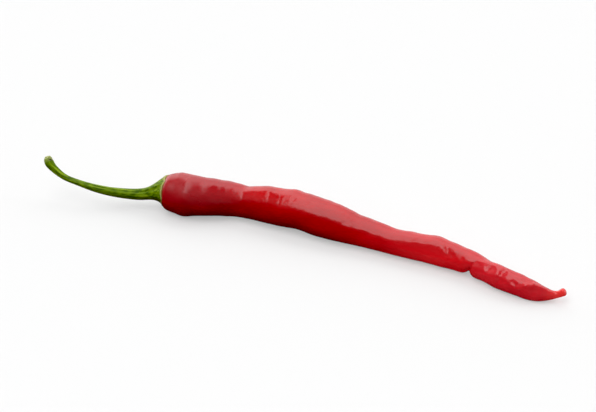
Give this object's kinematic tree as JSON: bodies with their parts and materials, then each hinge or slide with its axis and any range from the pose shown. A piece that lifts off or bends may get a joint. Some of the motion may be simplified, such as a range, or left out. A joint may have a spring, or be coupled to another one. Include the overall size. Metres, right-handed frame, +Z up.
{
  "type": "chilli pepper",
  "caption": "Long slender red chilli pepper lying on its side, with a slightly bowed glossy pod, a hooked tip, a flared green calyx and a curved cut stem.",
  "frame": {"origin": "middle of the chilli's bounding box in plan, on the surface that it lies on", "axes": "+X from the stem towards the tip, +Y towards the belly of the pod's sideways bow, +Z up from the surface"},
  "size_m": [0.2078, 0.0268, 0.0177],
  "materials": {
    "pod_skin": "waxy gloss, deep red skin with faint cross ripples",
    "calyx_green": "satin, blotchy green with a pale wavy rim",
    "stem_green": "satin, lengthwise ridges, paler towards the cut end"
  },
  "bodies": {
    "root": {"pod": "pod_skin", "calyx": "calyx_green", "stem": "stem_green"}
  },
  "joints": []
}
